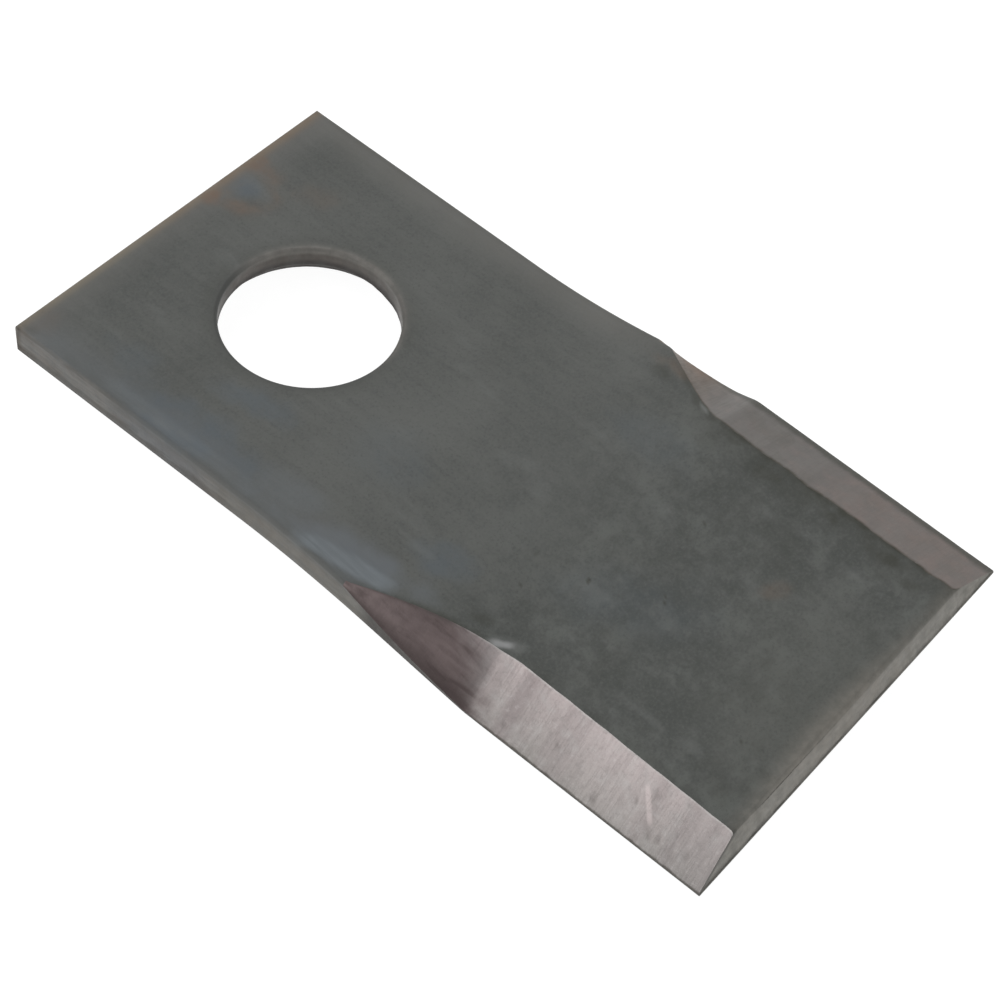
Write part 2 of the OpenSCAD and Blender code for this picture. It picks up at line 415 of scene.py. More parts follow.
# rubbed rims along the edges of the flat end
uneven = fractal(x, y, 6.0, 55, 3)
rim_far = (1 - smooth(0.6, 5.5 + 1.4 * uneven, HW - y)) * (1 - smooth(22, 33, x))
rim_near = (1 - smooth(0.5, 6.0 + 1.6 * uneven, HW + y)) * (1 - smooth(31, 36, x))
rim_near = np.maximum(rim_near, 0.9 * blob(15.5, -20.6, 6.0, 3.8, 8, 0.4, 58))
rim_near = np.maximum(rim_near, 1.7 * blob(25.2, -21.1, 11.0, 2.9, 13, 0.4, 56))
rim_back = 1 - smooth(0.3, 5.0 + 1.0 * uneven, back_d)
back_line = 1 - smooth(0.2, 1.5, back_d)

# tempering colours and stains on the upper face
near_edge = 1 - smooth(0.6, 6.5, HW + y)
far_edge = 1 - smooth(0.3, 4.5, HW - y)
blue = np.zeros(len(P))
for cx, cy, rx, ry, turn, amount, seed in (
    (4.0, -20.5, 11.0, 3.2, 0, 0.75, 12),
    (5.5, -13.0, 6.0, 2.4, 12, 0.6, 13),
    (25.5, -21.8, 6.5, 1.6, 14, 0.3, 14),
    (1.0, -23.2, 5.5, 1.3, 0, 1.0, 11),
    (33.5, -14.0, 4.2, 2.6, 20, 0.6, 15),
    (40.0, 12.0, 7.0, 4.0, 0, 0.28, 16),
    (52.0, -4.0, 9.0, 5.0, 25, 0.28, 17),
    (-9.0, -18.0, 5.0, 2.5, 0, 0.4, 18),
    (20.0, -8.0, 6.0, 5.0, 0, 0.3, 19),
):
    blue = np.maximum(blue, amount * blob(cx, cy, rx, ry, turn, 0.45, seed))
straw = np.zeros(len(P))
for cx, cy, rx, ry, turn, amount, seed in (
    (-20.8, 5.4, 2.0, 1.7, 20, 0.9, 21),
    (-20.6, 12.8, 1.6, 1.6, 0, 0.75, 22),
    (-17.4, 6.4, 2.4, 1.0, 24, 0.6, 23),
    (-12.0, 14.0, 4.0, 2.2, 30, 0.22, 24),
    (63.0, 6.5, 2.5, 1.2, 40, 0.3, 25),
    (37.5, 21.6, 5.0, 1.1, 0, 0.45, 26),
):
    straw = np.maximum(straw, amount * blob(cx, cy, rx, ry, turn, 0.45, seed))
heart = np.hypot((x + 18.6) / 3.4, (y - 9.4) / 3.0) + 0.30 * fractal(x, y, 2.2, 27, 4)
blue = np.maximum(blue, 0.95 * (1 - smooth(0.2, 0.80, heart)))
halo = np.exp(-(((heart - 1.15) / 0.30) ** 2)) * smooth(-0.3, 0.5, fractal(x, y, 3.0, 28, 3) + 0.25)
straw = np.maximum(straw, 0.75 * halo * smooth(-13, -17, x))
straw = np.maximum(straw, 0.60 * (1 - smooth(0.3, 2.0, back_d)) * smooth(-8, 8, y))
brown = 0.55 * far_edge * (0.6 + 0.5 * fractal(x, y, 5.0, 41, 3)) * (1 - smooth(30, 40, x))
brown = np.maximum(brown, 0.4 * near_edge * np.clip(fractal(x, y, 4.0, 43, 3) + 0.3, 0, 1) * (1 - smooth(20, 30, x)))
brown = np.maximum(brown, 1.3 * blob(-20.2, -21.4, 2.4, 2.6, 0, 0.4, 44))
# darker along the bevels' upper lines, in ragged lines and spots
lead_line = (HW + y) - lead_at(x)
trail_line = (HW - y) - trail_at(x)
rag = fractal(x, y, 2.4, 45, 4)
dark = 1.1 * (1 - smooth(0.1, 1.3 + 1.1 * rag, trail_line)) * smooth(33, 40, x)
frayed = fractal(x, y, 1.3, 145, 3)
dark = np.maximum(dark, 1.5 * (1 - smooth(0.05, 0.80 + 1.0 * frayed, trail_line)) * smooth(36, 46, x))
dark = np.maximum(dark, 0.6 * (1 - smooth(0.4, 4.2 + 2.6 * rag, trail_line)) * smooth(38, 46, x))
dark = np.maximum(dark, 0.50 * (1 - smooth(0.1, 0.9 + 0.6 * rag, lead_line)) * smooth(26, 30, x) * (1 - smooth(41, 44, x)))
dark = np.maximum(dark, 0.95 * (1 - smooth(0.02, 0.55 + 0.6 * frayed, lead_line)) * smooth(29, 32, x) * (1 - smooth(41, 44, x)))
dark = np.maximum(dark, 0.35 * (1 - smooth(0.0, 2.0 + 0.8 * rag, lead_line)) * smooth(44, 50, x))
for cx, cy, rx, ry, turn, amount, seed in (
    (34.3, 20.2, 2.0, 1.3, 0, 0.9, 46),
    (41.0, -16.1, 1.7, 0.8, 30, 0.7, 240),
    (47.6, 17.4, 1.7, 0.8, -8, 0.8, 241),
    (53.6, 16.6, 2.7, 1.2, 8, 1.1, 242),
    (57.8, 17.3, 1.4, 0.7, 0, 0.8, 243),
    (61.5, 16.8, 2.5, 1.1, -6, 1.1, 244),
    (66.0, 17.3, 1.5, 0.8, 0, 0.8, 245),
    (69.4, 16.7, 3.1, 1.2, 10, 1.1, 246),
    (73.6, 15.9, 2.2, 0.9, 20, 0.8, 247),
):
    dark = np.maximum(dark, amount * blob(cx, cy, rx, ry, turn, 0.5, seed))
dark = np.maximum(dark, 0.30 * np.where(r_bore < 18, 1 - smooth(10.9, 13.2, r_bore), 0))
seam = smooth(0.25, 0.55, HW + y) * (1 - smooth(0.8, 1.7, HW + y)) * (1 - smooth(26, 32, x))
dark = np.maximum(dark, 0.45 * seam * np.clip(0.55 + 0.9 * fractal(x, y, 3.0, 248, 3), 0, 1))
dark = np.maximum(dark, 0.35 * smooth(44, 60, x) * np.clip(fractal(x, y, 6.0, 47, 4) * 1.6, 0, 1))
light = 0.5 * np.clip(fractal(x * 0.5, y * 1.6, 3.0, 51, 4) * 2.2 - 0.75, 0, 1)
gleam = streak(26.4, -21.85, 7.2, 1.05, 13.2, 54)
gleam = np.maximum(gleam, 0.22 * streak(1.5, -22.6, 13.0, 1.1, 0, 84))
roll = np.where(y < 0, smooth(0.35, 1.0, z) * (1 - smooth(0.15, 0.75, HW + y)), 0)
roll = roll * smooth(-16, -4, x) * (1 - smooth(27, 31, x))
far_roll = np.where(y > 0, smooth(0.35, 1.0, z) * (1 - smooth(0.20, 0.70, HW - y)), 0)
roll = np.maximum(roll, far_roll * smooth(-21.5, -19, x) * (1 - smooth(28, 32, x)))
# painted highlights: small bright patches on the upper face where each run-out begins
light = np.maximum(light, 0.5 * blob(44.4, -16.5, 2.2, 0.80, 34, 0.3, 52))
light = np.maximum(light, 1.3 * blob(42.2, 18.55, 1.2, 0.40, -17, 0.3, 57))
light = np.maximum(light, 0.6 * blob(45.2, -16.2, 2.2, 0.90, 28, 0.4, 53))

# ---------------------------------------------------------------------------
# Unevenness in the shape itself
# ---------------------------------------------------------------------------
def normals_of(pts):
    q = pts[F]
    n = np.cross(q[:, 2] - q[:, 0], q[:, 3] - q[:, 1])
    out = np.zeros_like(pts)
    for c in range(4):
        np.add.at(out, F[:, c], n)
    return out / np.maximum(np.linalg.norm(out, axis=1, keepdims=True), 1e-12)


normal = normals_of(P)
on_lead = (place > NEAR0) & (place < NEAR0 + CORNER) & (lead_cut[st] > 0.05)
on_trail = (place > TOP0 - CORNER) & (place < TOP0) & (trail_cut[st] > 0.05)

rise = np.zeros(len(P))
# rolled plate: slow waviness and a fine scale skin
plate = (upper | (under > 0)) & (r_bore > BORE_R + 0.6)
skin = 0.030 * fractal(x, y, 16.0, 61, 3) + 0.010 * fractal(x, y, 1.6, 64, 3)
skin -= 0.012
rng = np.random.RandomState(5)
pits = np.zeros(len(P))
for _ in range(170):
    px, py = rng.uniform(-20, 76), rng.uniform(-22, 22)
    if px < 38 and rng.uniform() < 0.6:
        continue
    pr, depth = rng.uniform(0.45, 1.15), rng.uniform(0.015, 0.045)
    d = ((x - px) ** 2 + (y - py) ** 2) / pr**2
    pits -= depth * np.clip(1 - d, 0, 1) ** 2
fade = smooth(0.3, 1.6, side_in) * smooth(0.8, 2.5, tip_d) * smooth(0.4, 1.6, back_d)
fade = fade * smooth(0.1, 0.8, np.where(x > 30, lead_line, 9)) * smooth(0.1, 0.8, np.where(x > 30, trail_line, 9))
fade = fade * smooth(0.5, 2.0, r_bore - BORE_R)
rise[plate] += ((np.minimum(skin, 0.0) + pits) * fade)[plate]
# ground faces: shallow cross bands from the wheel, and a few nicks
bands = 0.010 * np.sin(x * 2.05 + 1.2 * noise2(x * 0.22, 0 * x, 66)) + 0.010 * noise2(x * 0.75, y * 0.06, 67)
lead_u = np.where(place < 0, 0.0, np.clip((NEAR0 + CORNER - place) / CORNER, 0, 1))
trail_u = np.where(place < 0, 0.0, np.clip((place - (TOP0 - CORNER)) / CORNER, 0, 1))
mid = np.where(on_lead, lead_u, trail_u)
mid = smooth(0.02, 0.2, mid) * smooth(0.02, 0.2, 1 - mid)
tipfade = smooth(0.05, 0.8, tip_d)
rise[on_lead] += ((bands - 0.02) * mid * tipfade)[on_lead]
rise[on_trail] += (0.7 * (bands - 0.02) * mid * tipfade)[on_trail]
nicks = np.zeros(len(P))
for px, py, pr, depth in ((69.9, -22.6, 0.5, 0.04), (73.2, -20.4, 0.45, 0.04), (71.0, -22.3, 0.5, 0.05),
                          (74.5, -22.0, 0.5, 0.06), (56.0, -21.0, 0.5, 0.05), (49.5, -22.6, 0.5, 0.05),
                          (66.6, -20.8, 0.45, 0.07), (68.4, -19.2, 0.45, 0.07), (62.5, -23.0, 0.6, 0.05)):
    d = ((x - px) ** 2 + (y - py) ** 2) / pr**2
    nicks -= depth * np.clip(1 - d, 0, 1) ** 1.5
rise[on_lead] += nicks[on_lead]
# sheared ends: rougher below the burnished band; side walls a little uneven
rough = 0.06 * fractal(y * 1.0, z * 2.2, 1.4, 68, 4) - 0.05
inner_cap = on_cap & (z < HT - 0.9) & (z > -HT + 0.25) & (side_in > 0.3)
rise[inner_cap] += (rough * smooth(1.4, -0.6, z))[inner_cap]
walls = on_side & ~on_lead & ~on_trail & (z > -HT + 0.35) & (z < HT - 0.55) & (tip_d > 0.6) & (back_d > 0.6)
rise[walls] += (0.020 * fractal(x * 0.6, z * 2.0, 1.2, 69, 4) - 0.02)[walls]
P = P + normal * rise[:, None]
P[:, 0] = np.clip(P[:, 0], X_BACK + 0.01, X_TIP)

# twist, bend down, lay level, in metres
turn = twist_at(P[:, 0])
arm = P[:, 1] - TW_AXIS
tw_y = arm * np.cos(turn) - P[:, 2] * np.sin(turn) + TW_AXIS
tw_z = arm * np.sin(turn) + P[:, 2] * np.cos(turn)
tw_z -= DROOP * np.clip((P[:, 0] - DROOP_X0) / (X_TIP - DROOP_X0), 0, None)
c, s = math.cos(REST), math.sin(REST)
world_pts = np.stack([P[:, 0], tw_y * c + tw_z * s, tw_z * c - tw_y * s], axis=1) * 0.001
world_pts = np.clip(world_pts, np.array(cad_low), np.array(cad_high))

mesh = bpy.data.meshes.new("mower_blade")
mesh.from_pydata(world_pts.tolist(), [], F.tolist())
mesh.update()
mesh.polygons.foreach_set("material_index", Z.astype(np.int32))
mesh.polygons.foreach_set("use_smooth", np.ones(len(F), bool))
mesh.set_sharp_from_angle(angle=math.radians(34))


def keep_vector(name, a, b, c):
    layer = mesh.attributes.new(name, "FLOAT_VECTOR", "POINT")
    layer.data.foreach_set("vector", np.stack([a, b, c], axis=1).astype(np.float32).ravel())


keep_vector("loc", *local.T)
keep_vector("mk_zone", wall, ends, bore)
keep_vector("mk_tint", blue, straw, brown)
keep_vector("mk_tone", dark, light, under)
keep_vector("mk_rim", rim_far, rim_near, rim_back)
keep_vector("mk_line", back_line, gleam, roll)
keep_vector("mk_bevel", lead_u, trail_u, np.where(on_lead, np.clip(-nicks / 0.10, 0, 1), 0))
mesh.update()

blade = bpy.data.objects.new("mower_blade", mesh)
bpy.context.scene.collection.objects.link(blade)


# ---------------------------------------------------------------------------
# Materials
# ---------------------------------------------------------------------------
class Nodes:
    """A small helper that wires shader nodes."""

    def __init__(self, name):
        self.mat = bpy.data.materials.new(name)
        self.mat.use_nodes = True
        self.tree = self.mat.node_tree
        self.bsdf = next(n for n in self.tree.nodes if n.type == "BSDF_PRINCIPLED")

    def new(self, kind):
        return self.tree.nodes.new(kind)

    def put(self, socket, value):
        if isinstance(value, bpy.types.NodeSocket):
            self.tree.links.new(value, socket)
        elif isinstance(value, (tuple, list)) and len(value) == 3 and socket.type == "RGBA":
            socket.default_value = (*value, 1.0)
        else:
            socket.default_value = value

    def attr(self, name):
        n = self.new("ShaderNodeAttribute")
        n.attribute_name = name
        return n.outputs["Vector"]

    def split(self, vec):
        n = self.new("ShaderNodeSeparateXYZ")
        self.put(n.inputs[0], vec)
        return n.outputs[0], n.outputs[1], n.outputs[2]

    def stretch(self, vec, x, y, z):
        n = self.new("ShaderNodeVectorMath")
        n.operation = "MULTIPLY"
        self.put(n.inputs[0], vec)
        n.inputs[1].default_value = (x, y, z)
        return n.outputs[0]

    def noise(self, vec, scale, detail=4.0, rough=0.55, distort=0.0):
        n = self.new("ShaderNodeTexNoise")
        self.put(n.inputs["Vector"], vec)
        n.inputs["Scale"].default_value = scale
        n.inputs["Detail"].default_value = detail
        n.inputs["Roughness"].default_value = rough
        n.inputs["Distortion"].default_value = distort
        return n.outputs["Fac"]

    def math(self, op, a, b=None, clamp=False):
        n = self.new("ShaderNodeMath")
        n.operation = op
        n.use_clamp = clamp
        self.put(n.inputs[0], a)
        if b is not None:
            self.put(n.inputs[1], b)
        return n.outputs[0]

    def span(self, v, a, b, lo=0.0, hi=1.0):
        n = self.new("ShaderNodeMapRange")
        n.interpolation_type = "SMOOTHSTEP"
        self.put(n.inputs["Value"], v)
        for key, val in (("From Min", a), ("From Max", b), ("To Min", lo), ("To Max", hi)):
            n.inputs[key].default_value = val
        return n.outputs[0]

    def mix(self, fac, a, b, blend="MIX"):
        n = self.new("ShaderNodeMix")
        n.data_type = "RGBA"
        n.blend_type = blend
        self.put(n.inputs[0], fac)
        self.put(n.inputs[6], a)
        self.put(n.inputs[7], b)
        return n.outputs[2]

    def bump(self, height, distance, strength=1.0, normal=None):
        n = self.new("ShaderNodeBump")
        n.inputs["Strength"].default_value = strength
        n.inputs["Distance"].default_value = distance
        self.put(n.inputs["Height"], height)
        if normal is not None:
            self.put(n.inputs["Normal"], normal)
        return n.outputs[0]

    def done(self, **sockets):
        names = {"color": "Base Color", "metal": "Metallic", "rough": "Roughness", "normal": "Normal",
                 "spec": "Specular IOR Level", "ior": "IOR"}
        for key, value in sockets.items():
            self.put(self.bsdf.inputs[names[key]], value)
        return self.mat


def scale_material():
    """Hot-rolled plate with its tempered skin, worn on the edges, with some painted highlights and painted shade."""
    m = Nodes("tempered_plate")
    loc = m.attr("loc")
    wall, ends, bore = m.split(m.attr("mk_zone"))
    blue, straw, brown = m.split(m.attr("mk_tint"))
    dark, light, under = m.split(m.attr("mk_tone"))
    rim_far, rim_near, rim_back = m.split(m.attr("mk_rim"))
    back_line, gleam, roll = m.split(m.attr("mk_line"))
    broad = m.noise(loc, 0.075, 3, 0.5)
    patch = m.noise(loc, 0.42, 5, 0.62, 0.2)
    grain = m.noise(loc, 3.2, 3, 0.6)
    rolled = m.noise(m.stretch(loc, 0.10, 1.1, 1.1), 1.0, 4, 0.6)
    tone = m.math("ADD", m.math("MULTIPLY", broad, 0.45), m.math("MULTIPLY", patch, 0.35))
    tone = m.math("ADD", tone, m.math("MULTIPLY", rolled, 0.20))
    x, y, z = m.split(loc)
    base = m.mix(m.span(tone, 0.36, 0.64), (0.061, 0.065, 0.059), (0.095, 0.099, 0.091))
    # the twisted half is darker, with soft blotches and a little mottle
    outer = m.span(x, 28.0, 52.0)
    blotch = m.noise(m.stretch(loc, 0.8, 1.0, 1.0), 0.24, 3, 0.55, 0.3)
    mottle = m.noise(m.stretch(loc, 1.0, 0.75, 1.0), 0.85, 4, 0.62)
    veil = m.math("ADD", m.math("MULTIPLY", blotch, 0.62), m.math("MULTIPLY", mottle, 0.38))
    base = m.mix(m.math("MULTIPLY", outer, m.span(veil, 0.60, 0.38, 0.16, 0.70)), base, (0.038, 0.043, 0.037))
    base = m.mix(m.math("MULTIPLY", outer, m.span(veil, 0.52, 0.66, 0.0, 0.50)), base, (0.105, 0.115, 0.103))
    tip = m.math("MULTIPLY", m.span(x, 58.0, 72.0), m.span(m.math("ABSOLUTE", m.math("ADD", y, 1.0)), 15.0, 5.0))
    base = m.mix(m.math("MULTIPLY", tip, 0.42), base, (0.105, 0.108, 0.096))
    speck = m.span(grain, 0.44, 0.72)
    base = m.mix(m.math("MULTIPLY", speck, 0.30), base, (0.116, 0.120, 0.110))
    hollow = m.span(grain, 0.46, 0.30)
    base = m.mix(m.math("MULTIPLY", hollow, 0.34), base, (0.034, 0.037, 0.034))
    broken = m.span(patch, 0.30, 0.66, 0.45, 1.0)
    rub = m.span(tone, 0.34, 0.62, 0.75, 1.0)
    base = m.mix(m.math("MULTIPLY", m.math("MULTIPLY", rim_far, rub), 0.82), base, (0.128, 0.128, 0.117))
    base = m.mix(m.math("MULTIPLY", m.math("MULTIPLY", rim_near, rub), 0.62), base, (0.109, 0.120, 0.126))
    base = m.mix(m.math("MULTIPLY", m.math("MULTIPLY", rim_back, rub), 0.70), base, (0.126, 0.124, 0.114))
    base = m.mix(m.math("MULTIPLY", back_line, 0.85), base, (0.196, 0.164, 0.116))
    base = m.mix(m.math("MULTIPLY", m.math("MULTIPLY", blue, broken), 0.70), base, (0.073, 0.096, 0.117))
    base = m.mix(m.math("MULTIPLY", m.math("MULTIPLY", straw, broken), 0.70), base, (0.165, 0.098, 0.058))
    base = m.mix(m.math("MULTIPLY", m.math("MULTIPLY", brown, broken), 0.40), base, (0.100, 0.085, 0.070))
    base = m.mix(m.math("MULTIPLY", m.math("MULTIPLY", dark, broken), 0.75), base, (0.029, 0.030, 0.020))
    gleam = m.math("MULTIPLY", gleam, m.span(rolled, 0.36, 0.58, 0.55, 1.0))
    base = m.mix(m.math("MULTIPLY", gleam, 0.96), base, (0.146, 0.166, 0.177))
    # lighter bare patches, and the painted highlights where the run-outs begin
    base = m.mix(m.math("MULTIPLY", light, 0.50, clamp=True), base, (0.205, 0.212, 0.204))
    # a painted highlight: a small whitish streak on the upper face where the leading run-out begins
    fx, fy = m.math("SUBTRACT", x, 44.4), m.math("ADD", y, 16.65)
    fu = m.math("ADD", m.math("MULTIPLY", fx, 0.829), m.math("MULTIPLY", fy, 0.559))
    fv = m.math("SUBTRACT", m.math("MULTIPLY", fy, 0.829), m.math("MULTIPLY", fx, 0.559))
    fv = m.math("ADD", fv, m.math("MULTIPLY", m.math("SUBTRACT", patch, 0.5), 0.5))
    flare_highlight = m.math("MULTIPLY", m.span(m.math("ABSOLUTE", fv), 0.60, 0.10), m.span(m.math("ABSOLUTE", fu), 1.8, 0.5))
    flare_highlight = m.math("MULTIPLY", flare_highlight, m.span(z, 1.0, 1.6))
    base = m.mix(m.math("MULTIPLY", flare_highlight, 0.85), base, (0.29, 0.293, 0.29))
    # bare and burnished where edges rub, with painted shade low on the walls, at the leading bevel's end and down the
    # bore, and a painted highlight on the bore's rim
    wear = m.span(m.noise(loc, 0.9, 4, 0.6), 0.28, 0.66, 0.65, 1.0)
    streak = m.noise(m.stretch(loc, 0.30, 0.30, 2.2), 1.0, 4, 0.6)
    side = m.mix(m.span(streak, 0.32, 0.70), (0.100, 0.097, 0.090), (0.143, 0.138, 0.128))
    rust = m.span(m.noise(m.stretch(loc, 0.16, 0.16, 0.6), 1.0, 4, 0.6), 0.46, 0.66, 0.0, 0.60)
    side = m.mix(rust, side, (0.098, 0.080, 0.064))
    cool = m.math("MULTIPLY", m.span(x, -9.0, -2.0), m.span(x, 9.0, 4.0))
    side = m.mix(m.math("MULTIPLY", cool, 0.60), side, (0.100, 0.105, 0.112))
    side = m.mix(m.span(x, 6.0, 12.0, 0.0, 0.50), side, (0.130, 0.121, 0.101))
    shade = m.mix(m.span(streak, 0.32, 0.70), (0.058, 0.055, 0.048), (0.084, 0.079, 0.070))
    side = m.mix(m.span(y, -2.0, 2.0), side, shade)
    # painted shade: the walls darken towards their lower edge and chamfer, most towards the back
    low = m.math("ADD", z, m.math("MULTIPLY", m.math("SUBTRACT", streak, 0.5), 1.6))
    foot_shade = m.span(x, 4.0, 16.0, 1.0, 0.20)
    side = m.mix(m.math("MULTIPLY", m.span(low, -0.40, -1.00, 0.0, 0.56), foot_shade), side, (0.044, 0.038, 0.030))
    side = m.mix(m.math("MULTIPLY", m.span(z, -1.45, -1.80, 0.0, 0.70), foot_shade), side, (0.030, 0.026, 0.022))
    # painted shade on the leading side's land below the bevel, from the run-out to the tip
    side = m.mix(m.math("MULTIPLY", m.span(x, 29.5, 32.5, 0.0, 0.90), m.span(y, 2.0, -2.0)), side, (0.034, 0.029, 0.025))
    side = m.mix(m.span(x, -20.9, -21.6, 0.0, 0.80), side, (0.036, 0.029, 0.022))
    base = m.mix(m.math("MULTIPLY", wall, wear), base, side)
    base = m.mix(m.math("MULTIPLY", roll, 0.27), base, (0.042, 0.035, 0.022))
    fibre = m.noise(m.stretch(loc, 0.8, 1.1, 0.35), 1.0, 4, 0.6)
    shear = m.mix(m.span(fibre, 0.30, 0.70), (0.142, 0.135, 0.117), (0.188, 0.179, 0.157))
    torn = m.math("ADD", z, m.math("MULTIPLY", m.math("SUBTRACT", fibre, 0.5), 1.0))
    torn = m.math("MULTIPLY", m.span(torn, -1.05, -1.70, 0.0, 0.85), m.span(y, 8.0, -16.0, 0.65, 1.0))
    shear = m.mix(m.math("MULTIPLY", m.span(m.math("ABSOLUTE", y), 14.0, 4.0), 0.40), shear, (0.196, 0.178, 0.153))
    shear = m.mix(torn, shear, (0.076, 0.071, 0.061))
    dull = m.math("MULTIPLY", m.span(z, 0.9, 1.7), m.span(y, 4.0, 10.0))
    shear = m.mix(m.math("MULTIPLY", dull, 0.28), shear, (0.085, 0.083, 0.073))
    # a dark line where the leading bevel ends at the tip, painted shade on its chamfer
    slant_shade = m.math("SUBTRACT", z, m.math("SUBTRACT", m.math("MULTIPLY", m.math("ADD", y, 24.0), 0.545), 1.6))
    slant_shade = m.math("MULTIPLY", m.span(slant_shade, -0.75, -0.20), m.span(y, -16.6, -17.6))
    shear = m.mix(m.math("MULTIPLY", m.math("MULTIPLY", slant_shade, m.span(x, 60.0, 70.0)), 0.80), shear, (0.046, 0.043, 0.036))
    base = m.mix(m.math("MULTIPLY", ends, wear), base, shear)
    fibre = m.noise(m.stretch(loc, 0.7, 0.7, 0.45), 1.0, 4, 0.55)
    # painted highlight on the bore's rolled rim, strongest on the far side towards -x
    lip_highlight = m.mix(m.span(fibre, 0.30, 0.70), (0.146, 0.139, 0.126), (0.180, 0.172, 0.157))
    lip_highlight = m.mix(m.span(x, 0.0, 7.0, 0.0, 0.45), lip_highlight, (0.085, 0.082, 0.076))
    lip_highlight = m.mix(m.span(y, 4.0, -3.0), lip_highlight, (0.070, 0.072, 0.068))
    inner = m.mix(m.span(fibre, 0.30, 0.70), (0.070, 0.061, 0.053), (0.096, 0.085, 0.076))
    inner = m.mix(m.span(z, 1.00, 1.75), inner, lip_highlight)
    # painted shade: the bore's wall darkens from below its land down the torn cone
    inner = m.mix(m.span(z, 0.65, -0.20, 0.0, 0.88), inner, (0.032, 0.027, 0.025))
    base = m.mix(m.math("MULTIPLY", bore, wear), base, inner)
    exposed = m.math("MAXIMUM", m.math("MAXIMUM", wall, ends), m.math("MAXIMUM", bore, light))
    rough = m.math("ADD", m.span(patch, 0.30, 0.70, 0.46, 0.60), m.math("MULTIPLY", grain, 0.10))
    rough = m.math("SUBTRACT", rough, m.math("MULTIPLY", exposed, 0.08))
    rough = m.math("ADD", rough, m.math("MULTIPLY", bore, m.span(z, 0.2, -1.2, 0.0, 0.40)), clamp=True)
    metal = m.math("MULTIPLY", exposed, 0.45)
    height = m.math("ADD", m.math("MULTIPLY", grain, 0.6), m.math("MULTIPLY", patch, 1.2))
    normal = m.bump(height, 0.00005, 0.6)
    return m.done(color=base, metal=metal, rough=rough, normal=normal, ior=1.5)


